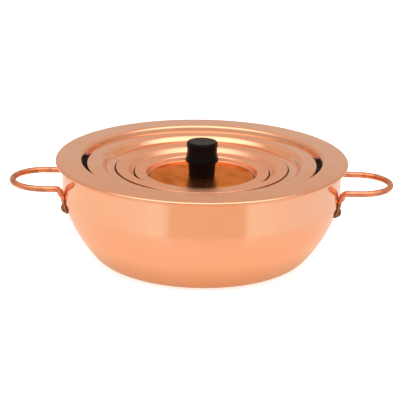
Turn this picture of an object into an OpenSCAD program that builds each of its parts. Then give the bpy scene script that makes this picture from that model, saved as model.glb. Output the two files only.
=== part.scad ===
// Copper water bath: a spun bowl with two riveted wire handles, closed by four nested
// rings and a centre disc with a moulded knob. Every ring lies loose on the one outside it.

/* [Bowl] */
// Outer radius of the straight wall
wall_r = 100.2; // [99:0.1:101]
// Sheet thickness of the bowl, the rings and the disc
sheet = 0.8; // [0.6:0.1:1]
// Height of the crease between the straight wall and the rounded body
crease_z = 47; // [45:0.5:49]
// Radius of the rounded body, seen in section
body_arc_r = 98; // [96:1:100]
// Slope of the rounded body just under the crease, in degrees
body_slope_top = 14; // [13:0.5:15]
// Slope of the rounded body where it turns into the base, in degrees
body_slope_low = 41.5; // [41:0.5:43]
// Outer radius of the lip that is turned out under the top ring
lip_r = 103; // [102:0.1:103]

/* [Rings] */
// Height of the top ring's flat face above the base
top_z = 74; // [73:0.5:76]
// How far each ring's face lies below the one outside it
step_down = 3.3; // [3.1:0.1:3.6]
// Outer radius of the top ring over its rolled edge
ring_1_r = 105; // [104.8:0.1:106]
// Outer radius of the second ring
ring_2_r = 82.9; // [82:0.1:83.5]
// Outer radius of the third ring
ring_3_r = 61.8; // [61:0.1:63]
// Outer radius of the fourth ring
ring_4_r = 48.3; // [47.5:0.1:48.6]
// Inner radius of the top ring's flat face, where its shoulder starts
ring_1_flat_r = 88.3; // [88:0.1:89.5]
// Inner radius of the second ring's flat face
ring_2_flat_r = 73.6; // [73:0.1:74.5]
// Inner radius of the third ring's flat face
ring_3_flat_r = 55.7; // [55.2:0.1:55.7]
// Inner radius of the fourth ring's flat face
ring_4_flat_r = 40.8; // [40.5:0.1:41.4]
// Depth of the top ring's ledge below its flat face
ring_1_drop = 5.28; // [5.2:0.02:5.4]
// Radius of the hole in the top ring
ring_1_hole_r = 76; // [75:0.5:78]
// Radius of the hole in the second ring
ring_2_hole_r = 56; // [54:0.5:58]
// Radius of the hole in the third ring
ring_3_hole_r = 43; // [42:0.5:44]
// Radius of the hole in the fourth ring
ring_4_hole_r = 33; // [31:0.5:34]
// Upper, convex bend radius of the top ring's shoulder
ring_1_convex_r = 2.5; // [2.3:0.1:2.6]
// Upper, convex bend radius of the soft shoulders of the two middle rings
soft_convex_r = 4.5; // [4:0.1:4.6]
// Lower, concave bend radius of the three outer shoulders
concave_r = 1.5; // [1.2:0.1:1.6]
// Upper, convex bend radius of the last ring's shoulder
tight_convex_r = 1.6; // [1.4:0.1:1.8]
// Lower, concave bend radius of the last ring's shoulder
tight_concave_r = 1.1; // [0.9:0.1:1.2]
// Bend radius of the second ring's edge, which is turned down for the ring to stand on
skirt_bend_r = 1.2; // [1:0.1:1.4]
// Outer radius of the rolled edge of the top ring, seen in section
curl_r = 1.5; // [1.3:0.1:1.6]

/* [Centre disc] */
// Outer radius of the disc
disc_r = 37.6; // [37:0.1:37.8]
// Inner radius of the disc's flat rim
disc_rim_r = 34; // [33.5:0.1:34.5]
// Radius of the flat seat under the knob
seat_r = 10; // [9.5:0.1:12]
// Rise of the seat above the rim
disc_crown = 1.2; // [0.8:0.1:1.4]

/* [Knob] */
// Height of the knob
knob_h = 24.4; // [23.5:0.1:26]
// Height of the narrower foot
foot_h = 9.6; // [9:0.1:10.5]
// Radius of the foot at its top
foot_r = 10; // [9.6:0.1:10.2]
// Radius of the foot at its bottom
foot_low_r = 9.4; // [9.2:0.1:9.6]
// Largest radius of the flare at the bottom of the head
flare_r = 11.8; // [11.6:0.1:12]
// Radius at the waist of the head
waist_r = 10.75; // [10.6:0.05:10.9]
// Radius of the rim at the top of the head
rim_r = 11.2; // [11.1:0.05:11.4]
// Outer radius of the threaded insert
insert_r = 4; // [3.6:0.1:4.5]
// Length of the threaded insert
insert_h = 11; // [9:0.5:12]
// Radius of the screw's shank
screw_r = 2.5; // [2:0.1:2.5]

/* [Handles] */
// Height of the handle wire above the base
wire_z = 56; // [55:0.5:57]
// Radius of the handle wire
wire_r = 2.2; // [2:0.1:2.3]
// Half the distance between the two legs of a handle
leg_y = 23.5; // [22:0.5:25]
// Distance of each handle's tip from the axis of the bowl
tip_x = 138.4; // [136:0.2:142]
// Bend radius of the wire where it turns down to its strap
elbow_r = 3.5; // [3.3:0.1:4]
// Thickness of the hammered strap
strap_t = 1.8; // [1.6:0.1:2]
// Width of the hammered strap
strap_w = 8; // [7.5:0.5:9]
// Height of the strap's rounded lower end above the base
strap_low_z = 37.5; // [37:0.5:38.5]
// Height of the rivets above the base
rivet_z = 42; // [41.5:0.1:42.5]
// Radius of the rivet's shank
rivet_r = 1.6; // [1.4:0.1:1.7]

/* [Hidden] */
$fn = 96;

COPPER = [0.85, 0.52, 0.38];
BRASS = [0.78, 0.6, 0.32];
BLACK = [0.09, 0.08, 0.08];

wall_inner_r = wall_r - sheet;

// Centre of the body's arc, and of the arc that turns it into the flat base
body_arc_x = wall_r - body_arc_r * cos(body_slope_top);
body_arc_z = crease_z + body_arc_r * sin(body_slope_top);
body_low_x = body_arc_x + body_arc_r * cos(body_slope_low);
body_low_z = body_arc_z - body_arc_r * sin(body_slope_low);
base_arc_r = body_low_z / (1 - sin(body_slope_low));
base_r = body_low_x - base_arc_r * cos(body_slope_low);

// The lip lies against the underside of the top ring; its bend has these radii in section
lip_z = top_z - sheet;
lip_bend_r = 1.4;
lip_bend_x = wall_inner_r + lip_bend_r;
lip_bend_z = lip_z - lip_bend_r;

ring_rs = [ring_1_r, ring_2_r, ring_3_r, ring_4_r];
flat_rs = [ring_1_flat_r, ring_2_flat_r, ring_3_flat_r, ring_4_flat_r];
hole_rs = [ring_1_hole_r, ring_2_hole_r, ring_3_hole_r, ring_4_hole_r];
convex_rs = [ring_1_convex_r, soft_convex_r, soft_convex_r, tight_convex_r];
concave_rs = [concave_r, concave_r, concave_r, tight_concave_r];

// Shoulders: the top one is steep, the two soft ones lean, the last one is upright
shoulder_slopes = [atan2(24, 7), atan2(4, 3), atan2(4, 3), 90];
ring_drop = step_down + sheet;
drops = [ring_1_drop, ring_drop, ring_drop, ring_drop];
skirt_h = ring_1_drop - step_down;
function ring_z(i) = top_z - i * step_down;

// The disc's rim lies on the ledge of the last ring
disc_z = ring_z(4);
seat_z = disc_z + disc_crown;
crown_arc_r = ((disc_rim_r - seat_r) ^ 2 + disc_crown ^ 2) / (2 * disc_crown);

// Knob: heights above its foot
flare_z = 11.7;
waist_z = 17.4;
foot_edge_r = 0.8;
thread_gap = 0.05;
insert_floor = 1.5;
washer_r = 6.5;
washer_t = 1;
washer_gap = 0.2;
screw_head_r = 4.5;
screw_head_t = 2.4;
screw_len = 13;
slot_w = 1.2;
slot_t = 1.1;

// The strap's upper end stands clear of the wall by wire_gap
wire_gap = 0.15;
wire_axis_r = wall_r + wire_r + wire_gap;
leg_angle = asin(leg_y / wire_axis_r);
leg_x = wire_axis_r * cos(leg_angle);
loop_x = tip_x - leg_y - wire_r;
leg_len = loop_x - leg_x - elbow_r;
elbow_z = wire_z - elbow_r;
strap_top_z = 48.5;
strap_end_z = strap_low_z + strap_w / 2;
strap_sector = 7;
strap_inset = 0.25;
collar_h = 0.4;
collar_t = 0.06;

// Rivets stand square to the body's arc
rivet_slope = asin((body_arc_z - rivet_z) / body_arc_r);
rivet_clear = 0.05;
rivet_head_r = 3.3;
rivet_head_t = 1.9;
rivet_tail_r = 2.7;
rivet_tail_t = 1.2;
burr_r = 4;
burr_t = 0.8;
burr_seat = 0.1;

// ---------- shapes shared by several parts ----------

// Part of a disc between two angles under 180 degrees apart, measured from +X
module pie(r, from, to) {
    reach = 2 * r;
    mid = (from + to) / 2;
    intersection() {
        circle(r = r);
        polygon([[0, 0], reach * [cos(from), sin(from)], 2 * reach * [cos(mid), sin(mid)],
            reach * [cos(to), sin(to)]]);
    }
}

// Bent sheet: a band between two radii and two angles
module bend(r_out, thickness, from, to) {
    difference() {
        pie(r_out, from, to);
        circle(r = r_out - thickness);
    }
}

// Sheet lying flat between two radii, top face at z = 0, with a rounded edge on one end
module flat_sheet(r_in, r_out, round_in, round_out) {
    edge = sheet / 2;
    x0 = round_in ? r_in + edge : r_in;
    x1 = round_out ? r_out - edge : r_out;
    translate([x0, -sheet]) square([x1 - x0, sheet]);
    if (round_in) translate([x0, -edge]) circle(r = edge, $fn = 32);
    if (round_out) translate([x1, -edge]) circle(r = edge, $fn = 32);
}

// Solid outline of the bowl in section, shrunk by inset and cut off level at top: the body's arc
// cut by the wall and the base, with the corner between arc and base rounded off
module bowl_outline(inset, top) {
    corner = 2 * base_arc_r;
    difference() {
        intersection() {
            translate([body_arc_x, body_arc_z]) circle(r = body_arc_r - inset);
            translate([0, inset]) square([wall_r - inset, top - inset]);
        }
        translate([base_r, base_arc_r]) difference() {
            polygon([[0, 0], [0, -corner], [corner, -corner],
                corner * [cos(body_slope_low), -sin(body_slope_low)]]);
            circle(r = base_arc_r - inset);
        }
    }
}

// ---------- parts ----------

module bowl_section() {
    difference() {
        bowl_outline(0, lip_bend_z);
        bowl_outline(sheet, top_z);
    }
    translate([lip_bend_x, lip_bend_z]) bend(lip_bend_r, sheet, 90, 180);
    translate([lip_bend_x, lip_z - sheet]) square([lip_r - lip_bend_x, sheet]);
}

module bowl() {
    color(COPPER) difference() {
        rotate_extrude($fn = 180) bowl_section();
        for (side = [0, 180], turn = [-leg_angle, leg_angle]) {
            rivet_place(side + turn) rivet_hole();
        }
    }
}

// Shoulder of bent sheet from the flat's inner edge at [0, 0] down to a ledge: a convex bend, a
// straight stretch at this slope and a concave bend
module shoulder(convex, concave, slope, drop) {
    fall = [-cos(slope), -sin(slope)];
    square_to = [-sin(slope), cos(slope)];
    high = [0, -convex] + convex * square_to;
    low = high + (drop - (convex + concave) * (1 - cos(slope))) / sin(slope) * fall;
    translate([0, -convex]) bend(convex, sheet, 90, 90 + slope);
    polygon([high, low, low - sheet * square_to, high - sheet * square_to]);
    translate(low + concave * square_to) bend(concave + sheet, sheet, -90, slope - 90);
}

// Distance from the flat's inner edge in to the ledge
function shoulder_w(convex, concave, slope, drop) = (convex + concave) * sin(slope)
    + (drop - (convex + concave) * (1 - cos(slope))) / sin(slope) * cos(slope);

// Edge turned down round a bend, seen in section; outer face at x = 0, top face at z = 0
module skirt(h) {
    edge = sheet / 2;
    translate([-skirt_bend_r, -skirt_bend_r]) bend(skirt_bend_r, sheet, 0, 90);
    translate([-sheet, edge - h]) square([sheet, h - edge - skirt_bend_r]);
    translate([-edge, edge - h]) circle(r = edge, $fn = 32);
}

module ring(i) {
    edge_r = [curl_r, skirt_bend_r, 0, 0][i];
    flat_outer = ring_rs[i] - edge_r;
    ledge_r = flat_rs[i] - shoulder_w(convex_rs[i], concave_rs[i], shoulder_slopes[i], drops[i]);
    color(COPPER) translate([0, 0, ring_z(i)]) rotate_extrude($fn = 180) {
        flat_sheet(flat_rs[i], flat_outer, false, i > 1);
        translate([flat_rs[i], 0]) shoulder(convex_rs[i], concave_rs[i], shoulder_slopes[i], drops[i]);
        translate([0, -drops[i]]) flat_sheet(hole_rs[i], ledge_r, true, false);
        if (i == 0) translate([flat_outer, -curl_r]) {
            bend(curl_r, sheet, -90, 0);
            bend(curl_r, sheet, 0, 90);
        }
        if (i == 1) translate([ring_rs[i], 0]) skirt(skirt_h);
    }
}

module ring_1() { ring(0); }
module ring_2() { ring(1); }
module ring_3() { ring(2); }
module ring_4() { ring(3); }

module centre_disc() {
    edge_angle = asin((disc_rim_r - seat_r) / crown_arc_r);
    lap = 0.1;
    color(COPPER) translate([0, 0, disc_z]) difference() {
        rotate_extrude($fn = 180) {
            flat_sheet(disc_rim_r - lap, disc_r, false, true);
            translate([seat_r, disc_crown - crown_arc_r]) bend(crown_arc_r, sheet, 90 - edge_angle, 90);
            translate([0, disc_crown - sheet]) square([seat_r, sheet]);
        }
        translate([0, 0, -5]) cylinder(r = screw_r + washer_gap, h = 10, $fn = 64);
    }
}

// The head's side is a shallow S: full at the flare, drawn in at the waist, full again at the rim
module knob() {
    waist_arc_r = 15.5;
    flare_edge = 0.65;
    top_edge_r = 1.7;
    rim_z = knob_h - top_edge_r;
    color(BLACK) translate([0, 0, seat_z]) difference() {
        rotate_extrude($fn = 128) {
            difference() {
                union() {
                    polygon([[0, 0], [foot_low_r - foot_edge_r, 0], [foot_low_r, foot_edge_r],
                        [foot_r, foot_h], [flare_r - flare_edge, foot_h], [flare_r, foot_h + flare_edge],
                        [flare_r, flare_z], [rim_r, rim_z], [0, rim_z]]);
                    translate([0, rim_z]) square([rim_r - top_edge_r, knob_h - rim_z]);
                    translate([rim_r - top_edge_r, rim_z]) pie(top_edge_r, 0, 90);
                }
                translate([waist_r + waist_arc_r, waist_z]) circle(r = waist_arc_r, $fn = 360);
            }
        }
        translate([0, 0, -1]) cylinder(r = insert_r, h = insert_h + insert_floor + 1, $fn = 64);
    }
}

module knob_insert() {
    color(BRASS) translate([0, 0, seat_z]) difference() {
        cylinder(r = insert_r, h = insert_h, $fn = 64);
        translate([0, 0, -1]) cylinder(r = screw_r + thread_gap, h = insert_h + 2, $fn = 64);
    }
}

module knob_screw() {
    head_top = seat_z - sheet - washer_t;
    color(BRASS) difference() {
        union() {
            translate([0, 0, head_top]) cylinder(r = screw_r, h = screw_len, $fn = 64);
            translate([0, 0, head_top - screw_head_t]) rotate_extrude($fn = 96) {
                polygon([[0, 0], [screw_head_r - 0.8, 0], [screw_head_r, 0.8], [screw_head_r, screw_head_t],
                    [0, screw_head_t]]);
            }
        }
        translate([-screw_head_r - 1, -slot_w / 2, head_top - screw_head_t - 1])
            cube([2 * screw_head_r + 2, slot_w, slot_t + 1]);
    }
}

module knob_washer() {
    color(BRASS) translate([0, 0, seat_z - sheet - washer_t]) difference() {
        cylinder(r = washer_r, h = washer_t);
        translate([0, 0, -1]) cylinder(r = screw_r + washer_gap, h = washer_t + 2, $fn = 64);
    }
}

// Moves a shape drawn round +Z to a rivet's place: z = 0 on the bowl's outer face, +Z outward
module rivet_place(turn) {
    rotate([0, 0, turn]) translate([body_arc_x, 0, body_arc_z]) rotate([0, 90 + rivet_slope, 0])
        translate([0, 0, body_arc_r]) children();
}

// Hole for a rivet through strap or wall, drawn round +Z
module rivet_hole() {
    translate([0, 0, -6]) cylinder(r = rivet_r + rivet_clear, h = 12, $fn = 48);
}

// Hammered end of the wire: follows the bowl's outer face and ends in a half round
module strap() {
    difference() {
        intersection() {
            rotate([0, 0, -strap_sector / 2]) rotate_extrude(angle = strap_sector, $fn = 180) difference() {
                bowl_outline(-strap_t, strap_top_z);
                bowl_outline(0, top_z);
            }
            union() {
                translate([base_r, -strap_w / 2, strap_end_z]) cube([base_r, strap_w, crease_z]);
                translate([base_r, 0, strap_end_z]) rotate([0, 90, 0])
                    cylinder(r = strap_w / 2, h = base_r);
            }
        }
        rivet_place(0) rivet_hole();
    }
}

// Where the hammer has spread the round wire to the strap: a collar round the wire's end, drawn
// down to a flat that is set into the strap's upper end
module spread_wire() {
    hull() {
        translate([wire_axis_r, 0, elbow_z - collar_h / 2])
            cylinder(r = wire_r + collar_t, h = collar_h, $fn = 32);
        translate([wall_r + strap_inset, strap_inset - strap_w / 2, strap_top_z - strap_inset])
            cube([strap_t - 2 * strap_inset, strap_w - 2 * strap_inset, strap_inset / 5]);
    }
}

// Wire loop with its two legs and the elbows that turn them down
module wire() {
    translate([loop_x, 0, wire_z]) {
        rotate([0, 0, -90]) rotate_extrude(angle = 180, $fn = 180)
            translate([leg_y, 0]) circle(r = wire_r, $fn = 64);
        for (side = [-1, 1]) translate([0, side * leg_y, 0]) {
            rotate([0, -90, 0]) cylinder(r = wire_r, h = leg_len, $fn = 64);
            translate([-leg_len, 0, -elbow_r]) rotate([90, -90, 0])
                rotate_extrude(angle = 90, $fn = 64) translate([elbow_r, 0]) circle(r = wire_r, $fn = 64);
        }
    }
}

module handle() {
    wire();
    for (side = [-1, 1]) rotate([0, 0, side * leg_angle]) {
        spread_wire();
        strap();
    }
}

module handle_left() { color(COPPER) rotate([0, 0, 180]) handle(); }
module handle_right() { color(COPPER) handle(); }

// Low domed head outside, shank through strap, wall and burr, and a small set tail inside
module rivet(turn) {
    head_sphere_r = (rivet_head_r ^ 2 + rivet_head_t ^ 2) / (2 * rivet_head_t);
    tail_sphere_r = (rivet_tail_r ^ 2 + rivet_tail_t ^ 2) / (2 * rivet_tail_t);
    tail_face = -sheet - burr_seat - burr_t;
    color(COPPER) rivet_place(turn) {
        translate([0, 0, tail_face]) cylinder(r = rivet_r, h = strap_t - tail_face, $fn = 48);
        intersection() {
            translate([0, 0, strap_t + rivet_head_t - head_sphere_r]) sphere(r = head_sphere_r, $fn = 64);
            translate([0, 0, strap_t]) cylinder(r = 2 * rivet_head_r, h = 2 * rivet_head_t, $fn = 48);
        }
        intersection() {
            translate([0, 0, tail_face - rivet_tail_t + tail_sphere_r]) sphere(r = tail_sphere_r, $fn = 64);
            translate([0, 0, tail_face - 2 * rivet_tail_t])
                cylinder(r = 2 * rivet_tail_r, h = 2 * rivet_tail_t, $fn = 48);
        }
    }
}

module rivet_right_front() { rivet(-leg_angle); }
module rivet_right_rear() { rivet(leg_angle); }
module rivet_left_front() { rivet(180 + leg_angle); }
module rivet_left_rear() { rivet(180 - leg_angle); }

module burr(turn) {
    color(COPPER) rivet_place(turn) translate([0, 0, -sheet - burr_seat - burr_t]) difference() {
        cylinder(r = burr_r, h = burr_t, $fn = 64);
        translate([0, 0, -1]) cylinder(r = rivet_r + rivet_clear, h = burr_t + 2, $fn = 48);
    }
}

module burr_right_front() { burr(-leg_angle); }
module burr_right_rear() { burr(leg_angle); }
module burr_left_front() { burr(180 + leg_angle); }
module burr_left_rear() { burr(180 - leg_angle); }

bowl();
ring_1();
ring_2();
ring_3();
ring_4();
centre_disc();
knob();
knob_insert();
knob_screw();
knob_washer();
handle_left();
handle_right();
rivet_left_front();
rivet_left_rear();
rivet_right_front();
rivet_right_rear();
burr_left_front();
burr_left_rear();
burr_right_front();
burr_right_rear();
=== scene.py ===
import bmesh, bpy, math
from mathutils import Vector, Matrix


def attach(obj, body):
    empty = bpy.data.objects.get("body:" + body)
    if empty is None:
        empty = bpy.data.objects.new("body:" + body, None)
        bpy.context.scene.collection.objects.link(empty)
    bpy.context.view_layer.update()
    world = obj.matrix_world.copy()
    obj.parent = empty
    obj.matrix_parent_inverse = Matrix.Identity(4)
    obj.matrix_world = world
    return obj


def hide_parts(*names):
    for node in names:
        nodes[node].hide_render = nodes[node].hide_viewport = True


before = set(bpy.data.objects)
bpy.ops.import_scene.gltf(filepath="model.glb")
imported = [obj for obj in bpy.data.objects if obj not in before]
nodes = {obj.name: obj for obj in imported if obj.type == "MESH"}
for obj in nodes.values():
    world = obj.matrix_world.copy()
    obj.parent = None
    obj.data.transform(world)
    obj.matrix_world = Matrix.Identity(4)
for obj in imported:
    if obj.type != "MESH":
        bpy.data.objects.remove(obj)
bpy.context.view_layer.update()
MM = 0.001

# ---------------------------------------------------------------- camera and studio
# A long lens looks down at the bath from the front. The bath stands on a white sweep of paper under
# one broad soft light. Its copper mirrors a warm room, with a large soft box high in front.
SENSOR_WIDTH, LENS = 36, 161.65
CAMERA_DISTANCE = 1.3
CAMERA_ELEVATION = math.radians(17.946)
CAMERA_ROLL = math.radians(0.952)
CAMERA_TARGET = Vector((-0.93, 0, 42.08)) * MM

camera_data = bpy.data.cameras.new("camera")
camera_data.sensor_width = SENSOR_WIDTH
camera_data.lens = LENS
camera_data.clip_start = 0.05
camera = bpy.data.objects.new("camera", camera_data)
bpy.context.scene.collection.objects.link(camera)
back = Vector((0, -math.cos(CAMERA_ELEVATION), math.sin(CAMERA_ELEVATION)))
right = Vector((1, 0, 0))
up = back.cross(right)
camera_right = math.cos(CAMERA_ROLL) * right + math.sin(CAMERA_ROLL) * up
camera_up = back.cross(camera_right)
camera.matrix_world = Matrix.Translation(CAMERA_TARGET + CAMERA_DISTANCE * back) @ Matrix(
    (camera_right, camera_up, back)).transposed().to_4x4()
bpy.context.scene.camera = camera
bpy.context.scene.view_settings.view_transform = "Standard"


def new_material(name):
    """An empty node material and its output node."""
    material = bpy.data.materials.new(name)
    material.use_nodes = True
    material.node_tree.nodes.clear()
    output = material.node_tree.nodes.new("ShaderNodeOutputMaterial")
    return material, material.node_tree.nodes, material.node_tree.links, output


PAPER = (0.9, 0.9, 0.9)
PAPER_GLOW = 0.64
bpy.ops.object.select_all(action="DESELECT")
bpy.ops.mesh.primitive_grid_add(x_subdivisions=8, y_subdivisions=8, size=8)
floor = bpy.context.object
floor.name = "floor"
floor_material, make, link, output = new_material("white_sweep")
paper = make.new("ShaderNodeBsdfDiffuse")
paper.inputs["Color"].default_value = (*PAPER, 1)
glow = make.new("ShaderNodeEmission")
glow.inputs["Color"].default_value = (1, 1, 1, 1)
glow.inputs["Strength"].default_value = PAPER_GLOW
both = make.new("ShaderNodeAddShader")
link.new(paper.outputs[0], both.inputs[0])
link.new(glow.outputs[0], both.inputs[1])
# What the copper mirrors of the floor is painted light: a painted shadow right under the bath, warm
# light close to it, whiter light further out, and in front a duller sector between two bright ones
ground = make.new("ShaderNodeTexCoord")
ground_parts = make.new("ShaderNodeSeparateXYZ")
link.new(ground.outputs["Object"], ground_parts.inputs[0])
level_distance = make.new("ShaderNodeVectorMath")
level_distance.operation = "LENGTH"
link.new(ground.outputs["Object"], level_distance.inputs[0])


def colour_steps(tree, value, stops, low=0.0, high=1.0):
    """A colour ramp over a value between low and high, from (value, colour) stops."""
    scaled = tree.nodes.new("ShaderNodeMapRange")
    scaled.inputs["From Min"].default_value = low
    scaled.inputs["From Max"].default_value = high
    tree.links.new(value, scaled.inputs["Value"])
    ramp = tree.nodes.new("ShaderNodeValToRGB")
    while len(ramp.color_ramp.elements) < len(stops):
        ramp.color_ramp.elements.new(0.5)
    for stop, (place, colour) in zip(ramp.color_ramp.elements, stops):
        stop.position = (place - low) / (high - low)
        stop.color = (*colour, 1)
    tree.links.new(scaled.outputs["Result"], ramp.inputs["Fac"])
    return ramp.outputs["Color"]


NEAR_REACH = 0.3
near = colour_steps(floor_material.node_tree, level_distance.outputs["Value"], (
    (0.050, (0.26, 0.14, 0.07)), (0.079, (0.80, 0.55, 0.38)), (0.094, (1.0, 0.76, 0.60)),
    (0.120, (1.0, 0.79, 0.66))), high=NEAR_REACH)
farness = colour_steps(floor_material.node_tree, level_distance.outputs["Value"], (
    (0.115, (0, 0, 0)), (0.150, (0.45, 0.45, 0.45)), (0.245, (1, 1, 1))), high=NEAR_REACH)
SECTOR_CENTRE_Y = -0.052
depth = make.new("ShaderNodeMath")
depth.operation = "SUBTRACT"
depth.inputs[0].default_value = SECTOR_CENTRE_Y
link.new(ground_parts.outputs["Y"], depth.inputs[1])
bearing = make.new("ShaderNodeMath")
bearing.operation = "ARCTAN2"
link.new(ground_parts.outputs["X"], bearing.inputs[0])
link.new(depth.outputs[0], bearing.inputs[1])
DULL = (0.90, 0.70, 0.54)
far = colour_steps(floor_material.node_tree, bearing.outputs[0], (
    (-2.8, (0.95, 0.86, 0.80)), (-1.95, (0.99, 0.88, 0.78)), (-1.15, (1.0, 0.88, 0.81)),
    (-0.85, (1.0, 0.92, 0.85)), (-0.66, (1.0, 0.99, 0.94)), (-0.52, (0.98, 0.95, 0.90)), (-0.42, DULL),
    (0.625, DULL), (0.655, (1.0, 0.98, 0.90)), (0.95, (1.0, 0.96, 0.88)), (1.10, (0.98, 0.90, 0.85)),
    (1.95, (0.91, 0.88, 0.90)), (2.7, (0.95, 0.86, 0.80))), low=-math.pi, high=math.pi)
ground_colour = make.new("ShaderNodeMix")
ground_colour.data_type = "RGBA"
link.new(farness, ground_colour.inputs["Factor"])
link.new(near, ground_colour.inputs[6])
link.new(far, ground_colour.inputs[7])
seen_in_metal = make.new("ShaderNodeEmission")
link.new(ground_colour.outputs[2], seen_in_metal.inputs["Color"])
floor_ray = make.new("ShaderNodeLightPath")
floor_mix = make.new("ShaderNodeMixShader")
link.new(floor_ray.outputs["Is Glossy Ray"], floor_mix.inputs[0])
link.new(both.outputs[0], floor_mix.inputs[1])
link.new(seen_in_metal.outputs[0], floor_mix.inputs[2])
link.new(floor_mix.outputs[0], output.inputs["Surface"])
floor.data.materials.append(floor_material)

# World: white behind the bath for the camera, a plain light for what is matt, and for the metal a
# warm room with a soft box high in front, wider than it is high
ROOM_LIGHT = (0.85, 0.85, 0.85)
world = bpy.data.worlds.new("studio")
bpy.context.scene.world = world
world.use_nodes = True
make, link = world.node_tree.nodes, world.node_tree.links
make.clear()
output = make.new("ShaderNodeOutputWorld")
direction = make.new("ShaderNodeTexCoord")
parts = make.new("ShaderNodeSeparateXYZ")
link.new(direction.outputs["Generated"], parts.inputs[0])
room = colour_steps(world.node_tree, parts.outputs["Z"], (
    (0.0, (0.34, 0.25, 0.20)), (0.08, (0.52, 0.43, 0.36)), (0.18, (0.64, 0.57, 0.50)),
    (0.27, (0.70, 0.66, 0.60)), (0.292, (0.71, 0.67, 0.61)), (0.302, (0.66, 0.53, 0.42)),
    (0.325, (0.69, 0.51, 0.35)), (0.42, (0.72, 0.56, 0.42)), (0.7, (0.78, 0.68, 0.58))))
BOX_CENTRE = Vector((0, -0.45, 0.893))
BOX_NARROWING = 0.35
BOX_STRENGTH = 1.45
flattened = make.new("ShaderNodeVectorMath")
flattened.operation = "MULTIPLY"
link.new(direction.outputs["Generated"], flattened.inputs[0])
flattened.inputs[1].default_value = (BOX_NARROWING, 1, 1)
unit = make.new("ShaderNodeVectorMath")
unit.operation = "NORMALIZE"
link.new(flattened.outputs[0], unit.inputs[0])
towards_box = make.new("ShaderNodeVectorMath")
towards_box.operation = "DOT_PRODUCT"
link.new(unit.outputs[0], towards_box.inputs[0])
towards_box.inputs[1].default_value = BOX_CENTRE
box_light = colour_steps(world.node_tree, towards_box.outputs["Value"], (
    (0.76, (0, 0, 0)), (0.86, (0.35, 0.35, 0.34)), (0.93, (0.80, 0.80, 0.78)), (0.97, (1, 1, 0.98))))
box_level = make.new("ShaderNodeVectorMath")
box_level.operation = "MULTIPLY_ADD"
link.new(box_light, box_level.inputs[0])
box_level.inputs[1].default_value = (BOX_STRENGTH, BOX_STRENGTH, BOX_STRENGTH)
link.new(room, box_level.inputs[2])
ray = make.new("ShaderNodeLightPath")
mirrored = make.new("ShaderNodeBackground")
link.new(box_level.outputs[0], mirrored.inputs["Color"])
plain = make.new("ShaderNodeBackground")
plain.inputs["Color"].default_value = (*ROOM_LIGHT, 1)
white = make.new("ShaderNodeBackground")
white.inputs["Color"].default_value = (1, 1, 1, 1)
for_metal = make.new("ShaderNodeMixShader")
link.new(ray.outputs["Is Glossy Ray"], for_metal.inputs[0])
link.new(plain.outputs[0], for_metal.inputs[1])
link.new(mirrored.outputs[0], for_metal.inputs[2])
for_camera = make.new("ShaderNodeMixShader")
link.new(ray.outputs["Is Camera Ray"], for_camera.inputs[0])
link.new(for_metal.outputs[0], for_camera.inputs[1])
link.new(white.outputs[0], for_camera.inputs[2])
link.new(for_camera.outputs[0], output.inputs["Surface"])

# One rectangular lamp faces the bath; the metal doesn't mirror it, because it has the world's soft box
LAMP_PLACE = Vector((0.0, -1.0, 1.5))
LAMP_WIDTH, LAMP_HEIGHT = 1.6, 0.9
LAMP_WATTS = 14
lamp_data = bpy.data.lights.new("front_top_box", "AREA")
lamp_data.shape = "RECTANGLE"
lamp_data.size, lamp_data.size_y = LAMP_WIDTH, LAMP_HEIGHT
lamp_data.energy = LAMP_WATTS
lamp = bpy.data.objects.new("front_top_box", lamp_data)
bpy.context.scene.collection.objects.link(lamp)
lamp_turn = LAMP_PLACE.to_track_quat("Z", "Y").to_matrix().to_4x4()
lamp.matrix_world = Matrix.Translation(LAMP_PLACE) @ lamp_turn
lamp.visible_glossy = False

# ---------------------------------------------------------------- bowl
# One copper sheet, 0.8 mm thick, spun over a wooden former: flat base, rounded body, a faint
# crease, a straight wall and a lip turned out at the top. Polished on the lathe.
SHEET = 0.8
CREASE_Z = 47
TOP_Z = 74
WALL_R = 100.2
BODY_R = 98
BODY_CENTRE = (5.11, 70.71)
BASE_CORNER_R = 17.1
BASE_CENTRE = (65.7, 17.1)
SLOPE_TOP, SLOPE_LOW = 14, 41.5
LIP_R, LIP_BEND_R = 103, 1.4
CENTRE_CIRCLE_R = 1.5


def arc(centre, radius, start, end, steps):
    """Points of an arc in section, as (distance from the axis, height), in mm and degrees."""
    turns = [math.radians(start + (end - start) * i / steps) for i in range(steps + 1)]
    return [(centre[0] + radius * math.cos(t), centre[1] + radius * math.sin(t)) for t in turns]


def straight(start, end, guard=0.25):
    """A straight stretch in section, with a point close to each end that keeps it flat when shaded."""
    a, b = Vector(start), Vector(end)
    along = (b - a).normalized() * min(guard, (b - a).length / 5)
    middle = [a.lerp(b, t) for t in (0.25, 0.5, 0.75)]
    return [tuple(p) for p in (a, a + along, *middle, b - along, b)]


def join_section(*runs):
    """One list of points from runs that meet end to end."""
    points = []
    for run in runs:
        for point in run:
            if not points or math.dist(point, points[-1]) > 0.01:
                points.append(point)
    return points


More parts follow.
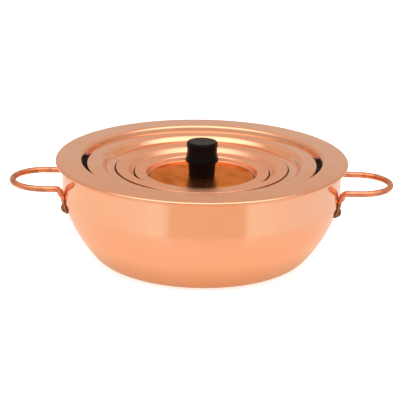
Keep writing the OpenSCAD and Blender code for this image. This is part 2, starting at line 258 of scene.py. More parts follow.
def spin_section(name, section, sides=256, close_start=False, close_end=False):
    """Draws a circle out along a section round Z: each point is one more ring of the surface."""
    bpy.ops.object.select_all(action="DESELECT")
    radius, height = section[0]
    bpy.ops.mesh.primitive_circle_add(vertices=sides, radius=radius * MM, location=(0, 0, height * MM))
    piece = bpy.context.object
    piece.name = name
    bpy.ops.object.transform_apply(location=True, rotation=True, scale=True)
    bpy.ops.object.mode_set(mode="EDIT")
    bpy.ops.mesh.select_mode(type="EDGE")
    bpy.ops.mesh.select_all(action="SELECT")
    if close_start:
        bpy.ops.mesh.edge_face_add()
        bpy.ops.mesh.select_all(action="SELECT")
    for (r0, z0), (r1, z1) in zip(section, section[1:]):
        bpy.ops.mesh.extrude_edges_move(TRANSFORM_OT_translate={"value": (0, 0, (z1 - z0) * MM)})
        bpy.ops.transform.resize(value=(r1 / r0, r1 / r0, 1), center_override=(0, 0, 0))
    if close_end:
        bpy.ops.mesh.edge_face_add()
    bpy.ops.mesh.select_all(action="SELECT")
    bpy.ops.mesh.normals_make_consistent(inside=False)
    bpy.ops.object.mode_set(mode="OBJECT")
    bpy.ops.object.shade_smooth()
    return piece


def give_thickness(piece, thickness=SHEET * MM, edge=0.3 * MM):
    """Turns a spun surface into sheet metal with its edges rounded off."""
    bpy.context.view_layer.objects.active = piece
    wall = piece.modifiers.new("sheet", "SOLIDIFY")
    wall.thickness = thickness
    wall.offset = 0
    wall.use_even_offset = True
    bpy.ops.object.modifier_apply(modifier=wall.name)
    rim = piece.modifiers.new("rim", "BEVEL")
    rim.width = edge
    rim.segments = 3
    rim.limit_method = "ANGLE"
    rim.angle_limit = math.radians(60)
    bpy.ops.object.modifier_apply(modifier=rim.name)


def dress(piece, material):
    """Leaves a piece with this one material."""
    piece.data.materials.clear()
    piece.data.materials.append(material)


half = SHEET / 2
wall_mid = WALL_R - half
lip_z = TOP_Z - SHEET
bend_centre = (WALL_R - SHEET + LIP_BEND_R, lip_z - LIP_BEND_R)
body_top = (BODY_CENTRE[0] + (BODY_R - half) * math.cos(math.radians(SLOPE_TOP)),
            BODY_CENTRE[1] - (BODY_R - half) * math.sin(math.radians(SLOPE_TOP)))
bowl_section = join_section(
    straight((CENTRE_CIRCLE_R, half), (BASE_CENTRE[0], half)),
    arc(BASE_CENTRE, BASE_CORNER_R - half, -90, -SLOPE_LOW, 12),
    arc(BODY_CENTRE, BODY_R - half, -SLOPE_LOW, -SLOPE_TOP, 30),
    straight(body_top, (wall_mid, bend_centre[1])),
    arc(bend_centre, LIP_BEND_R - half, 180, 90, 8),
    straight((bend_centre[0], lip_z - half), (LIP_R, lip_z - half)),
)
bowl = spin_section("spun_bowl", bowl_section, close_start=True)
give_thickness(bowl)


def socket(group, name, kind, way="INPUT", value=None):
    """Adds a named input or output to a node group."""
    new = group.interface.new_socket(name=name, in_out=way, socket_type=kind)
    if value is not None:
        new.default_value = value


def spun_metal_group():
    """Spun and polished sheet: turning marks that follow the lathe, slow waves in the sheet, a patina in
    soft clouds and stains, fine scratches from polishing, and painted shade in the seam round the next
    ring."""
    group = bpy.data.node_groups.new("spun_metal", "ShaderNodeTree")
    socket(group, "Metal", "NodeSocketColor", value=(0.95, 0.5, 0.3, 1))
    socket(group, "Patina", "NodeSocketColor", value=(0.7, 0.25, 0.1, 1))
    socket(group, "Patina amount", "NodeSocketFloat", value=0.2)
    socket(group, "Cloud scale", "NodeSocketFloat", value=30)
    socket(group, "Polish", "NodeSocketFloat", value=0.1)
    socket(group, "Wave height", "NodeSocketFloat", value=0.0001)
    socket(group, "Seam shade radius", "NodeSocketFloat", value=0.0)
    socket(group, "Seam shade top", "NodeSocketFloat", value=0.0)
    socket(group, "Seam shade at sides", "NodeSocketFloat", value=0.0)
    socket(group, "Colour", "NodeSocketColor", "OUTPUT")
    socket(group, "Roughness", "NodeSocketFloat", "OUTPUT")
    socket(group, "Height", "NodeSocketFloat", "OUTPUT")
    socket(group, "Unshaded metal", "NodeSocketFloat", "OUTPUT")
    make, link = group.nodes, group.links
    given = make.new("NodeGroupInput")
    out = make.new("NodeGroupOutput")
    place = make.new("ShaderNodeTexCoord")

    def math_node(kind, a, b):
        node = make.new("ShaderNodeMath")
        node.operation = kind
        for index, value in enumerate((a, b)):
            if isinstance(value, (int, float)):
                node.inputs[index].default_value = value
            else:
                link.new(value, node.inputs[index])
        return node.outputs[0]

    def noise(vector, scale, detail=2.0, rough=0.5):
        node = make.new("ShaderNodeTexNoise")
        link.new(vector, node.inputs["Vector"])
        if isinstance(scale, (int, float)):
            node.inputs["Scale"].default_value = scale
        else:
            link.new(scale, node.inputs["Scale"])
        node.inputs["Detail"].default_value = detail
        node.inputs["Roughness"].default_value = rough
        return node.outputs["Fac"]

    def ramp(value, low, high):
        node = make.new("ShaderNodeMapRange")
        node.interpolation_type = "SMOOTHSTEP"
        link.new(value, node.inputs["Value"])
        node.inputs["From Min"].default_value = low
        node.inputs["From Max"].default_value = high
        return node.outputs["Result"]

    def distance(a, b):
        return math_node("SQRT", math_node("ADD", math_node("POWER", a, 2), math_node("POWER", b, 2)), 0)

    # Turning marks change quickly from the middle outwards and up, and hardly at all round the piece
    round_the_piece = 0.02
    split = make.new("ShaderNodeSeparateXYZ")
    link.new(place.outputs["Object"], split.inputs[0])
    across = distance(split.outputs["X"], split.outputs["Y"])
    turned = make.new("ShaderNodeCombineXYZ")
    link.new(math_node("MULTIPLY", split.outputs["X"], round_the_piece), turned.inputs["X"])
    link.new(math_node("MULTIPLY", split.outputs["Y"], round_the_piece), turned.inputs["Y"])
    link.new(math_node("ADD", across, split.outputs["Z"]), turned.inputs["Z"])
    fine_lines = noise(turned.outputs[0], 2600, 2.0, 0.6)
    broad_lines = noise(turned.outputs[0], 330, 1.5, 0.5)
    waves = noise(place.outputs["Object"], 16, 1.0, 0.4)
    clouds = ramp(noise(place.outputs["Object"], given.outputs["Cloud scale"], 5.0, 0.6), 0.38, 0.72)
    stains = ramp(noise(place.outputs["Object"], 75, 3.0, 0.55), 0.62, 0.78)
    scratches = ramp(noise(place.outputs["Object"], 900, 2.0, 0.7), 0.55, 0.9)
    worn = math_node("ADD", math_node("MULTIPLY", clouds, 0.75), math_node("MULTIPLY", stains, 0.5))
    worn = math_node("ADD", worn, math_node("MULTIPLY", broad_lines, 0.2))
    amount = make.new("ShaderNodeClamp")
    link.new(math_node("MULTIPLY", worn, given.outputs["Patina amount"]), amount.inputs["Value"])
    tint = make.new("ShaderNodeMix")
    tint.data_type = "RGBA"
    link.new(amount.outputs[0], tint.inputs["Factor"])
    link.new(given.outputs["Metal"], tint.inputs[6])
    link.new(given.outputs["Patina"], tint.inputs[7])
    # Painted shade in the seam: a near-black, rougher, non-metal colour where the seam lies in shade. It
    # is widest at both sides, where it stands for the seam's dark reflection. How far round to a side a
    # place lies is measured from a point in front of the axis.
    front_point_y = -0.024
    from_there = distance(split.outputs["X"], math_node("SUBTRACT", split.outputs["Y"], front_point_y))
    sideways = math_node("DIVIDE", math_node("ABSOLUTE", split.outputs["X"], 0), from_there)
    extra = math_node("MULTIPLY", ramp(sideways, 0.80, 1.0), given.outputs["Seam shade at sides"])
    inside = math_node("SUBTRACT", math_node("ADD", given.outputs["Seam shade radius"], extra), across)
    below = math_node("SUBTRACT", math_node("ADD", given.outputs["Seam shade top"], extra), split.outputs["Z"])
    # Painted shade: the mask of the dark seam, a band of radius below a height
    seam = math_node("MULTIPLY", ramp(inside, -0.0012, 0.0002), ramp(inside, 0.0062, 0.0030))
    seam_shade = math_node("MULTIPLY", seam, ramp(below, -0.0004, 0.0010))
    seam_shade = math_node("MULTIPLY", seam_shade, math_node("ADD", clouds, 0.95))
    seam_shade = math_node("MINIMUM", seam_shade, 1)
    link.new(math_node("SUBTRACT", 1, seam_shade), out.inputs["Unshaded metal"])
    # Near-black colour of the painted shade in the seam
    seam_shade_colour = (0.007, 0.002, 0.001)
    seam_shaded = make.new("ShaderNodeMix")
    seam_shaded.data_type = "RGBA"
    seam_shaded.clamp_factor = True
    link.new(seam_shade, seam_shaded.inputs["Factor"])
    link.new(tint.outputs[2], seam_shaded.inputs[6])
    seam_shaded.inputs[7].default_value = (*seam_shade_colour, 1)
    link.new(seam_shaded.outputs[2], out.inputs["Colour"])
    rough = math_node("ADD", given.outputs["Polish"], math_node("MULTIPLY", fine_lines, 0.035))
    rough = math_node("ADD", rough, math_node("MULTIPLY", seam_shade, 0.5))
    rough = math_node("ADD", rough, math_node("MULTIPLY", amount.outputs[0], 0.10))
    rough = math_node("ADD", rough, math_node("MULTIPLY", scratches, 0.03))
    link.new(rough, out.inputs["Roughness"])
    height = math_node("MULTIPLY", waves, given.outputs["Wave height"])
    height = math_node("ADD", height, math_node("MULTIPLY", broad_lines, 0.000004))
    height = math_node("ADD", height, math_node("MULTIPLY", fine_lines, 0.0000007))
    link.new(height, out.inputs["Height"])
    return group


spun_metal = spun_metal_group()


def spun_copper(name, metal, patina, patina_amount, cloud_scale, polish, wave, edge_tint=(1, 1, 1),
                seam_shade=(0, 0, 0)):
    """Material of one spun copper piece. Painted shade darkens the seam within a radius and below a
    height, and reaches further at both sides, where it stands for the seam's dark reflection: the last
    argument holds these three in mm."""
    material, make, link, output = new_material(name)
    finish = make.new("ShaderNodeGroup")
    finish.node_tree = spun_metal
    finish.inputs["Metal"].default_value = (*metal, 1)
    finish.inputs["Patina"].default_value = (*patina, 1)
    finish.inputs["Patina amount"].default_value = patina_amount
    finish.inputs["Cloud scale"].default_value = cloud_scale
    finish.inputs["Polish"].default_value = polish
    finish.inputs["Wave height"].default_value = wave
    finish.inputs["Seam shade radius"].default_value = seam_shade[0] * MM
    finish.inputs["Seam shade top"].default_value = seam_shade[1] * MM
    finish.inputs["Seam shade at sides"].default_value = seam_shade[2] * MM
    bump = make.new("ShaderNodeBump")
    bump.inputs["Distance"].default_value = 1.0
    bump.inputs["Strength"].default_value = 1.0
    link.new(finish.outputs["Height"], bump.inputs["Height"])
    surface = make.new("ShaderNodeBsdfPrincipled")
    surface.inputs["Specular Tint"].default_value = (*edge_tint, 1)
    surface.inputs["Specular IOR Level"].default_value = 0.08
    surface.inputs["Metallic"].default_value = 1.0
    # In the painted shade of the seam the surface stops being metal, so it shows near-black
    if any(seam_shade):
        link.new(finish.outputs["Unshaded metal"], surface.inputs["Metallic"])
    link.new(finish.outputs["Colour"], surface.inputs["Base Color"])
    link.new(finish.outputs["Roughness"], surface.inputs["Roughness"])
    link.new(bump.outputs["Normal"], surface.inputs["Normal"])
    link.new(surface.outputs[0], output.inputs["Surface"])
    return material


bowl_copper = spun_copper("bowl_copper", metal=(0.985, 0.53, 0.335), patina=(0.90, 0.36, 0.14),
                          patina_amount=0.15, cloud_scale=14, polish=0.12, wave=0.00022)
dress(bowl, bowl_copper)
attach(bowl, "vessel")
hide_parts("bowl")

# ---------------------------------------------------------------- rings
# Four rings of the same sheet, spun with soft shoulders, so that each inner ledge carries the next
# ring 3.3 mm lower. The top one has a rolled edge, and the second stands on its turned-down edge.
STEP_DOWN = 3.3
RING_1_DROP = 5.28
CURL_R = 1.5
SKIRT_BEND_R = 1.2
STEEP, LEANING = math.degrees(math.atan2(24, 7)), math.degrees(math.atan2(4, 3))
RINGS = (
    # body, node, outer edge, flat's inner edge, hole, upper bend, lower bend, slope of the shoulder,
    # roughness after polishing, how much further the painted shade of the seam reaches at the sides
    ("top_ring", "ring_1", 105.0, 88.3, 76.0, 2.5, 1.5, STEEP, 0.10, 3.2),
    ("second_ring", "ring_2", 82.9, 73.6, 56.0, 4.5, 1.5, LEANING, 0.10, 0.3),
    ("third_ring", "ring_3", 61.8, 55.7, 43.0, 4.5, 1.5, LEANING, 0.30, 0.3),
    ("fourth_ring", "ring_4", 48.3, 41.4, 33.0, 1.8, 1.2, STEEP, 0.32, 1.0),
)
DISC_R = 37.6
SEAM_GAP, SEAM_DEPTH = 0.3, 3.4


def shoulder(flat_r, face, convex, concave, slope, drop):
    """Middle line of a ring's shoulder, from the flat's inner edge down to the ledge."""
    lean = math.radians(slope)
    fall = (drop - (convex + concave) * (1 - math.cos(lean))) / math.sin(lean)
    ledge_r = flat_r - (convex + concave) * math.sin(lean) - fall * math.cos(lean)
    high = arc((flat_r, face - convex), convex - half, 90, 90 + slope, 12)
    low = arc((ledge_r, face - drop + concave), concave + half, slope - 90, -90, 12)
    return join_section(high, straight(high[-1], low[0], guard=0.1), low)


seated_r = [ring[2] for ring in RINGS[1:]] + [DISC_R]
for index, (body, node, outer, flat_r, hole, convex, concave, slope, polish, at_sides) in enumerate(RINGS):
    face = TOP_Z - index * STEP_DOWN
    drop = RING_1_DROP if index == 0 else STEP_DOWN + SHEET
    mid = face - half
    edge = []
    if index == 0:
        outer -= CURL_R
        edge = arc((outer, face - CURL_R), CURL_R - half, -90, 90, 16)
    elif index == 1:
        foot_z = TOP_Z - RING_1_DROP
        edge = straight((outer - half, foot_z), (outer - half, face - SKIRT_BEND_R), guard=0.1)
        outer -= SKIRT_BEND_R
        edge += arc((outer, face - SKIRT_BEND_R), SKIRT_BEND_R - half, 0, 90, 8)
    bends = shoulder(flat_r, face, convex, concave, slope, drop)
    section = join_section(
        edge,
        straight((outer, mid), (flat_r, mid)),
        bends,
        straight(bends[-1], (hole, mid - drop)),
    )
    ring = spin_section("spun_" + node, section)
    give_thickness(ring)
    # Painted shade in the seam round the next ring or the disc: its radius, its top and its reach at the
    # sides
    dress(ring, spun_copper("ring_copper_%d" % (index + 1), metal=(0.95, 0.49, 0.31),
                            patina=(0.80, 0.30, 0.12), patina_amount=0.25, cloud_scale=22,
                            polish=polish, wave=0.0002,
                            seam_shade=(seated_r[index] + SEAM_GAP, face - SEAM_DEPTH, at_sides)))
    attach(ring, body)
    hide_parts(node)

# ---------------------------------------------------------------- centre disc
# The lid of the last hole: a slightly crowned disc of the same sheet, handled the most and so the
# most tarnished, with a flat seat for the knob and a hole for its screw.
RIM_R, SEAT_R, CROWN, SCREW_HOLE_R = 34.0, 10.0, 1.2, 2.7
disc_face = TOP_Z - 4 * STEP_DOWN
seat_z = disc_face + CROWN
crown_r = ((RIM_R - SEAT_R) ** 2 + CROWN ** 2) / (2 * CROWN)
crown_end = 90 - math.degrees(math.asin((RIM_R - SEAT_R) / crown_r))
disc_section = join_section(
    straight((DISC_R, disc_face - half), (RIM_R, disc_face - half)),
    arc((SEAT_R, seat_z - crown_r), crown_r - half, crown_end, 90, 16),
    straight((SEAT_R, seat_z - half), (SCREW_HOLE_R, seat_z - half)),
)
disc = spin_section("spun_disc", disc_section)
give_thickness(disc)
disc_copper = spun_copper("disc_copper", metal=(0.84, 0.33, 0.13), patina=(0.46, 0.12, 0.03),
                          patina_amount=0.9, cloud_scale=60, polish=0.23, wave=0.0001,
                          edge_tint=(0.95, 0.6, 0.4))
dress(disc, disc_copper)
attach(disc, "lid_disc")
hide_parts("centre_disc")

# ---------------------------------------------------------------- knob
# Black phenolic, compression moulded: a narrow foot, a flare that fingers lift under, a waisted
# head and a flat top with a rounded rim. Satin, a little greyer where hands have polished it.
FOOT_R, FOOT_LOW_R, FOOT_H = 10.0, 9.4, 9.6
FLARE_R, FLARE_Z, WAIST_R, WAIST_Z, RIM_TOP_R, KNOB_H = 11.8, 11.7, 10.75, 17.4, 11.2, 24.4
INSERT_R, BORE_H, WAIST_ARC_R, TOP_EDGE_R = 4.0, 12.5, 15.5, 1.7
FOOT_EDGE_R, NECK_FILLET_R, FLARE_EDGE_R = 0.8, 0.25, 0.6
WAIST_START, WAIST_END, RIM_STRAIGHT = 0.1, 1.3, 1.0
POLE_R, TOP_DISH = 0.4, 0.15


def up_from_seat(points):
    """Moves a section up to the seat of the disc."""
    return [(r, z + seat_z) for r, z in points]


waist_centre = (WAIST_R + WAIST_ARC_R, WAIST_Z)
rim_z = KNOB_H - TOP_EDGE_R
waist_low = math.degrees(math.asin((WAIST_Z - FLARE_Z - WAIST_START) / WAIST_ARC_R))
waist_high = math.degrees(math.asin((rim_z - WAIST_END - WAIST_Z) / WAIST_ARC_R))
foot_corner = (FOOT_LOW_R - FOOT_EDGE_R, FOOT_EDGE_R)
neck_corner = (FOOT_R + NECK_FILLET_R, FOOT_H - NECK_FILLET_R)
flare_corner = (FLARE_R - FLARE_EDGE_R, FOOT_H + FLARE_EDGE_R)
knob_section = up_from_seat(join_section(
    straight((POLE_R, BORE_H), (INSERT_R, BORE_H)),
    straight((INSERT_R, BORE_H), (INSERT_R, 0)),
    straight((INSERT_R, 0), (foot_corner[0], 0)),
    arc(foot_corner, FOOT_EDGE_R, -90, 0, 6),
    straight((FOOT_LOW_R, foot_corner[1]), (FOOT_R, neck_corner[1])),
    arc(neck_corner, NECK_FILLET_R, 180, 90, 4),
    straight((neck_corner[0], FOOT_H), (flare_corner[0], FOOT_H), guard=0.1),
    arc(flare_corner, FLARE_EDGE_R, -90, 0, 6),
    straight((FLARE_R, flare_corner[1]), (FLARE_R, FLARE_Z), guard=0.1),
    arc(waist_centre, WAIST_ARC_R, 180 + waist_low, 180 - waist_high, 24),
    straight((RIM_TOP_R, rim_z - RIM_STRAIGHT), (RIM_TOP_R, rim_z), guard=0.1),
    arc((RIM_TOP_R - TOP_EDGE_R, rim_z), TOP_EDGE_R, 0, 90, 10),
    straight((RIM_TOP_R - TOP_EDGE_R, KNOB_H), (POLE_R, KNOB_H - TOP_DISH)),
))
knob = spin_section("moulded_knob", knob_section, sides=128, close_start=True, close_end=True)
phenolic, make, link, output = new_material("black_phenolic")
place = make.new("ShaderNodeTexCoord")
grain = make.new("ShaderNodeTexNoise")
grain.inputs["Scale"].default_value = 1500
grain.inputs["Detail"].default_value = 3
link.new(place.outputs["Object"], grain.inputs["Vector"])
handled = make.new("ShaderNodeTexNoise")
handled.inputs["Scale"].default_value = 90
handled.inputs["Detail"].default_value = 4
link.new(place.outputs["Object"], handled.inputs["Vector"])
shade = make.new("ShaderNodeMix")
shade.data_type = "RGBA"
shade.inputs[6].default_value = (0.0022, 0.0018, 0.0018, 1)
shade.inputs[7].default_value = (0.0045, 0.0038, 0.0036, 1)
link.new(handled.outputs["Fac"], shade.inputs["Factor"])
gloss = make.new("ShaderNodeMapRange")
gloss.inputs["To Min"].default_value = 0.22
gloss.inputs["To Max"].default_value = 0.38
link.new(handled.outputs["Fac"], gloss.inputs["Value"])
bump = make.new("ShaderNodeBump")
bump.inputs["Distance"].default_value = 0.00002
link.new(grain.outputs["Fac"], bump.inputs["Height"])
surface = make.new("ShaderNodeBsdfPrincipled")
surface.inputs["Specular IOR Level"].default_value = 0.07
link.new(shade.outputs[2], surface.inputs["Base Color"])
link.new(gloss.outputs["Result"], surface.inputs["Roughness"])
link.new(bump.outputs["Normal"], surface.inputs["Normal"])
link.new(surface.outputs[0], output.inputs["Surface"])
dress(knob, phenolic)
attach(knob, "lid_disc")
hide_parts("knob")

# ---------------------------------------------------------------- handles
# One round copper wire each: a half-round loop with two level legs, bent down at the bowl, and
# its ends hammered into flat straps that follow the wall and lie on the body under the crease.
WIRE_R, WIRE_Z, LEG_Y, TIP_X = 2.2, 56.0, 23.5, 138.4
ELBOW_R, STRAP_T, STRAP_W, STRAP_TOP_Z, STRAP_LOW_Z = 3.5, 1.8, 8.0, 48.5, 37.5
WIRE_GAP = 0.15
NARROWEST_HALF = 0.3
LEG_STEPS = 4
wire_axis_r = WALL_R + WIRE_R + WIRE_GAP
leg_angle = math.asin(LEG_Y / wire_axis_r)
leg_x = wire_axis_r * math.cos(leg_angle)
loop_x = TIP_X - LEG_Y - WIRE_R
strap_arc_r = BODY_R + STRAP_T / 2


def select_half(piece, end, side):
    """Selects the vertices of an open end that lie on one side of the strap's middle."""
    mesh = bmesh.from_edit_mesh(piece.data)
    mesh.verts.ensure_lookup_table()
    for vertex in mesh.verts:
        vertex.select = vertex.index in end and vertex.co.y * side > 0
    mesh.select_flush_mode()
    bmesh.update_edit_mesh(piece.data)


def reshape_end(piece, centre, before, after):
    """Gives the selected open end, a flat-sided oval of (edge radius, half its straight side), a new
    size: its halves close up, the round is scaled, and they part again."""
    mesh = bmesh.from_edit_mesh(piece.data)
    end = {vertex.index for vertex in mesh.verts if vertex.select}
    for shift, scale in ((-before[1], after[0] / before[0]), (after[1], 1)):
        for side in (-1, 1):
            select_half(piece, end, side)
            bpy.ops.transform.translate(value=(0, side * shift * MM, 0))
        mesh = bmesh.from_edit_mesh(piece.data)
        for vertex in mesh.verts:
            vertex.select = vertex.index in end
        mesh.select_flush_mode()
        bmesh.update_edit_mesh(piece.data)
        bpy.ops.transform.resize(value=(scale, scale, scale),
                                 center_override=(centre[0] * MM, 0, centre[1] * MM))


def oval_at(depth):
    """Edge radius and half straight side of the strap at a depth below the middle of its round end."""
    half_width = math.sqrt(max((STRAP_W / 2) ** 2 - max(depth, 0) ** 2, NARROWEST_HALF ** 2))
    edge = min(STRAP_T / 2, half_width)
    return edge, half_width - edge


bpy.ops.object.select_all(action="DESELECT")
bpy.ops.mesh.primitive_circle_add(vertices=32, radius=WIRE_R * MM, rotation=(0, 0, math.pi / 32))
handle = bpy.context.object
handle.name = "bent_handle_right"
bpy.ops.object.transform_apply(location=True, rotation=True, scale=True)
handle.rotation_euler = (math.pi / 2, 0, 0)
handle.location = (loop_x * MM + LEG_Y * MM, 0, WIRE_Z * MM)
bpy.ops.object.transform_apply(location=True, rotation=True, scale=True)
bpy.ops.object.mode_set(mode="EDIT")
bpy.ops.mesh.select_mode(type="VERT")
bpy.ops.mesh.select_all(action="SELECT")
bpy.ops.mesh.spin(steps=40, angle=-math.pi / 2, center=(loop_x * MM, 0, WIRE_Z * MM), axis=(0, 0, 1))
leg_step = (leg_x + ELBOW_R - loop_x) / LEG_STEPS
for _ in range(LEG_STEPS):
    bpy.ops.mesh.extrude_edges_move(TRANSFORM_OT_translate={"value": (leg_step * MM, 0, 0)})
bpy.ops.mesh.spin(steps=14, angle=math.pi / 2, axis=(0, 1, 0),
                  center=((leg_x + ELBOW_R) * MM, LEG_Y * MM, (WIRE_Z - ELBOW_R) * MM))
bpy.ops.object.mode_set(mode="OBJECT")
handle.rotation_euler = (0, 0, -leg_angle)
bpy.ops.object.transform_apply(location=True, rotation=True, scale=True)
bpy.ops.object.mode_set(mode="EDIT")
# The round wire spreads to the strap as it comes down, in even steps
SPREAD_STEPS = 8
shape, place, height = (WIRE_R, 0.0), wire_axis_r, WIRE_Z - ELBOW_R
for step in range(1, SPREAD_STEPS + 1):
    share = step / SPREAD_STEPS
    soft = share * share * (3 - 2 * share)
    lower = WIRE_Z - ELBOW_R + (STRAP_TOP_Z - WIRE_Z + ELBOW_R) * share
    inner = wire_axis_r + (WALL_R + STRAP_T / 2 - wire_axis_r) * soft
    bpy.ops.mesh.extrude_edges_move(
        TRANSFORM_OT_translate={"value": ((inner - place) * MM, 0, (lower - height) * MM)})
    place, height = inner, lower
    target = (WIRE_R + (STRAP_T / 2 - WIRE_R) * soft, (STRAP_W / 2 - STRAP_T / 2) * soft)
    reshape_end(handle, (place, height), shape, target)
    shape = target
bpy.ops.mesh.extrude_edges_move(TRANSFORM_OT_translate={"value": (0, 0, (CREASE_Z - height) * MM)})
# Below the crease the strap follows the body's arc and closes in a half round. The depths are
# measured from the middle of the round, and lie closer together where it turns faster.
turn = math.asin((BODY_CENTRE[1] - CREASE_Z) / strap_arc_r)
round_z = STRAP_LOW_Z + STRAP_W / 2
depths = (-4.0, -2.5, -1.0, 0.0, 0.8, 1.5, 2.1, 2.6, 3.0, 3.35, 3.6, 3.8, 3.92, 3.985)
for depth in depths:
    new_turn = math.asin((BODY_CENTRE[1] - round_z + depth) / strap_arc_r)
    bpy.ops.mesh.spin(steps=1, angle=turn - new_turn, axis=(0, 1, 0),
                      center=(BODY_CENTRE[0] * MM, 0, BODY_CENTRE[1] * MM))
    turn = new_turn
    centre = (BODY_CENTRE[0] + strap_arc_r * math.cos(turn), BODY_CENTRE[1] - strap_arc_r * math.sin(turn))
    reshape_end(handle, centre, shape, oval_at(depth))
    shape = oval_at(depth)
bpy.ops.mesh.edge_face_add()
bpy.ops.object.mode_set(mode="OBJECT")
handle.rotation_euler = (0, 0, leg_angle)
bpy.ops.object.transform_apply(location=True, rotation=True, scale=True)
other_half = handle.modifiers.new("other_half", "MIRROR")
other_half.use_axis = (False, True, False)
other_half.merge_threshold = 0.00001
bpy.ops.object.modifier_apply(modifier=other_half.name)
bpy.ops.object.mode_set(mode="EDIT")
bpy.ops.mesh.select_all(action="SELECT")
bpy.ops.mesh.normals_make_consistent(inside=False)
bpy.ops.object.mode_set(mode="OBJECT")
bpy.ops.object.shade_smooth()


def worked_metal_group():
    """Wire and rivets: shallow hammer dents below a height, grime that gathers there, and a darker skin
    in patches."""
    group = bpy.data.node_groups.new("worked_metal", "ShaderNodeTree")
    socket(group, "Metal", "NodeSocketColor", value=(0.9, 0.42, 0.2, 1))
    socket(group, "Skin", "NodeSocketColor", value=(0.4, 0.12, 0.04, 1))
    socket(group, "Skin amount", "NodeSocketFloat", value=0.3)
    socket(group, "Hammered below", "NodeSocketFloat", value=0.05)
    socket(group, "Polish", "NodeSocketFloat", value=0.2)
    socket(group, "Colour", "NodeSocketColor", "OUTPUT")
    socket(group, "Roughness", "NodeSocketFloat", "OUTPUT")
    socket(group, "Height", "NodeSocketFloat", "OUTPUT")
    make, link = group.nodes, group.links
    given, out = make.new("NodeGroupInput"), make.new("NodeGroupOutput")
    place, split = make.new("ShaderNodeTexCoord"), make.new("ShaderNodeSeparateXYZ")
    link.new(place.outputs["Object"], split.inputs[0])
    dents = make.new("ShaderNodeTexNoise")
    dents.inputs["Scale"].default_value = 260
    dents.inputs["Detail"].default_value = 1.0
    link.new(place.outputs["Object"], dents.inputs["Vector"])
    patches = make.new("ShaderNodeTexNoise")
    patches.inputs["Scale"].default_value = 130
    patches.inputs["Detail"].default_value = 5.0
    link.new(place.outputs["Object"], patches.inputs["Vector"])
    under = make.new("ShaderNodeMath")
    under.operation = "SUBTRACT"
    link.new(given.outputs["Hammered below"], under.inputs[0])
    link.new(split.outputs["Z"], under.inputs[1])
    struck = make.new("ShaderNodeMapRange")
    struck.inputs["From Min"].default_value = -0.001
    struck.inputs["From Max"].default_value = 0.002
    link.new(under.outputs[0], struck.inputs["Value"])
    depth = make.new("ShaderNodeMapRange")
    depth.inputs["To Min"].default_value = 0.00001
    depth.inputs["To Max"].default_value = 0.00013
    link.new(struck.outputs["Result"], depth.inputs["Value"])
    height = make.new("ShaderNodeMath")
    height.operation = "MULTIPLY"
    link.new(dents.outputs["Fac"], height.inputs[0])
    link.new(depth.outputs["Result"], height.inputs[1])
    link.new(height.outputs[0], out.inputs["Height"])
    patchy = make.new("ShaderNodeMapRange")
    patchy.interpolation_type = "SMOOTHSTEP"
    patchy.inputs["From Min"].default_value = 0.35
    patchy.inputs["From Max"].default_value = 0.7
    link.new(patches.outputs["Fac"], patchy.inputs["Value"])
    dirt = make.new("ShaderNodeMath")
    dirt.operation = "MULTIPLY_ADD"
    dirt.inputs[1].default_value = 0.5
    link.new(struck.outputs["Result"], dirt.inputs[0])
    link.new(patchy.outputs["Result"], dirt.inputs[2])
    amount = make.new("ShaderNodeMath")
    amount.operation = "MULTIPLY"
    amount.use_clamp = True
    link.new(dirt.outputs[0], amount.inputs[0])
    link.new(given.outputs["Skin amount"], amount.inputs[1])
    tint = make.new("ShaderNodeMix")
    tint.data_type = "RGBA"
    link.new(amount.outputs[0], tint.inputs["Factor"])
    link.new(given.outputs["Metal"], tint.inputs[6])
    link.new(given.outputs["Skin"], tint.inputs[7])
    link.new(tint.outputs[2], out.inputs["Colour"])
    rough = make.new("ShaderNodeMath")
    rough.operation = "MULTIPLY_ADD"
    rough.inputs[1].default_value = 0.25
    link.new(amount.outputs[0], rough.inputs[0])
    link.new(given.outputs["Polish"], rough.inputs[2])
    link.new(rough.outputs[0], out.inputs["Roughness"])
    return group


worked_metal = worked_metal_group()


def worked_material(name, metal, skin, skin_amount, hammered_below, polish):
    """Material of wire, rivets and turned fittings."""
    material, make, link, output = new_material(name)
    finish = make.new("ShaderNodeGroup")
    finish.node_tree = worked_metal
    finish.inputs["Metal"].default_value = (*metal, 1)
    finish.inputs["Skin"].default_value = (*skin, 1)
    finish.inputs["Skin amount"].default_value = skin_amount
    finish.inputs["Hammered below"].default_value = hammered_below
    finish.inputs["Polish"].default_value = polish
    bump = make.new("ShaderNodeBump")
    bump.inputs["Distance"].default_value = 1.0
    link.new(finish.outputs["Height"], bump.inputs["Height"])
    surface = make.new("ShaderNodeBsdfPrincipled")
    surface.inputs["Metallic"].default_value = 1.0
    link.new(finish.outputs["Colour"], surface.inputs["Base Color"])
    link.new(finish.outputs["Roughness"], surface.inputs["Roughness"])
    link.new(bump.outputs["Normal"], surface.inputs["Normal"])
    link.new(surface.outputs[0], output.inputs["Surface"])
    return material


wire_copper = worked_material("wire_copper", metal=(0.86, 0.31, 0.17), skin=(0.40, 0.21, 0.11),
                              skin_amount=0.95, hammered_below=0.051, polish=0.28)
dress(handle, wire_copper)
bpy.ops.object.select_all(action="DESELECT")
handle.select_set(True)
bpy.context.view_layer.objects.active = handle
bpy.ops.object.duplicate()
left_handle = bpy.context.object
left_handle.name = "bent_handle_left"
left_handle.rotation_euler = (0, 0, math.pi)
bpy.ops.object.transform_apply(location=True, rotation=True, scale=True)
for piece, node in ((handle, "handle_right"), (left_handle, "handle_left")):
    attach(piece, "vessel")
    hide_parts(node)

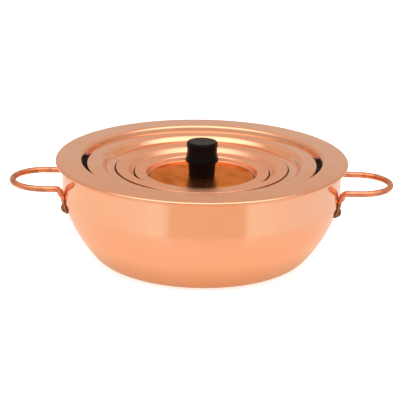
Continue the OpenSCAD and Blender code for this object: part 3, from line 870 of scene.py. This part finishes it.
# ---------------------------------------------------------------- rivets and burrs
# Four copper rivets, darkened: a low domed head over each strap, a shank through strap and wall,
# and inside a small tail set over a burr, the washer that is driven on before the tail is formed.
RIVET_Z, RIVET_R, HEAD_R, HEAD_T, TAIL_R, TAIL_T = 42.0, 1.6, 3.3, 1.9, 2.7, 1.2
BURR_T, BURR_SEAT = 0.8, 0.1
NEAR_POLE = 88.5
rivet_slope = math.asin((BODY_CENTRE[1] - RIVET_Z) / BODY_R)
tail_face = -SHEET - BURR_SEAT - BURR_T


def cap(radius, rise, base, way):
    """Section of a low dome from its rim to its top, way 1 for up and -1 for down."""
    sphere_r = (radius ** 2 + rise ** 2) / (2 * rise)
    reach = math.degrees(math.asin(radius / sphere_r))
    centre = (0.0, way * (rise - sphere_r))
    points = arc(centre, sphere_r, way * (90 - reach), way * NEAR_POLE, 12)
    return [(r, z + base) for r, z in points]


def set_in_wall(piece, turn):
    """Moves a shape drawn round +Z to a rivet's place, +Z outward, with its place in its mesh."""
    to_arc = Matrix.Translation((BODY_CENTRE[0] * MM, 0, BODY_CENTRE[1] * MM))
    lean = Matrix.Rotation(math.pi / 2 + rivet_slope, 4, "Y")
    outward = Matrix.Translation((0, 0, BODY_R * MM))
    piece.matrix_world = Matrix.Rotation(turn, 4, "Z") @ to_arc @ lean @ outward
    bpy.ops.object.select_all(action="DESELECT")
    piece.select_set(True)
    bpy.context.view_layer.objects.active = piece
    bpy.ops.object.transform_apply(location=True, rotation=True, scale=True)


rivet_section = join_section(
    cap(HEAD_R, HEAD_T, STRAP_T, 1)[::-1],
    straight((HEAD_R, STRAP_T), (RIVET_R, STRAP_T)),
    straight((RIVET_R, STRAP_T), (RIVET_R, tail_face)),
    straight((RIVET_R, tail_face), (TAIL_R, tail_face)),
    cap(TAIL_R, TAIL_T, tail_face, -1),
)
rivet_copper = worked_material("rivet_copper", metal=(0.56, 0.31, 0.15), skin=(0.22, 0.12, 0.05),
                               skin_amount=0.8, hammered_below=0.06, polish=0.3)
burr_copper = worked_material("burr_copper", metal=(0.80, 0.36, 0.18), skin=(0.40, 0.12, 0.04),
                              skin_amount=0.6, hammered_below=0.0, polish=0.25)
for place_name, turn in (("right_front", -leg_angle), ("right_rear", leg_angle),
                         ("left_front", math.pi + leg_angle), ("left_rear", math.pi - leg_angle)):
    rivet = spin_section("set_rivet_" + place_name, rivet_section, sides=48,
                         close_start=True, close_end=True)
    set_in_wall(rivet, turn)
    dress(rivet, rivet_copper)
    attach(rivet, "vessel")
    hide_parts("rivet_" + place_name)
    dress(nodes["burr_" + place_name], burr_copper)

# ---------------------------------------------------------------- knob fittings
# Turned brass, hidden in the knob and under the disc: a threaded insert moulded into the knob, and the
# slotted screw and the washer that hold the knob to the disc from below.
fitting_brass = worked_material("fitting_brass", metal=(0.88, 0.62, 0.28), skin=(0.45, 0.28, 0.10),
                                skin_amount=0.4, hammered_below=0.0, polish=0.22)
for node in ("knob_insert", "knob_screw", "knob_washer"):
    dress(nodes[node], fitting_brass)
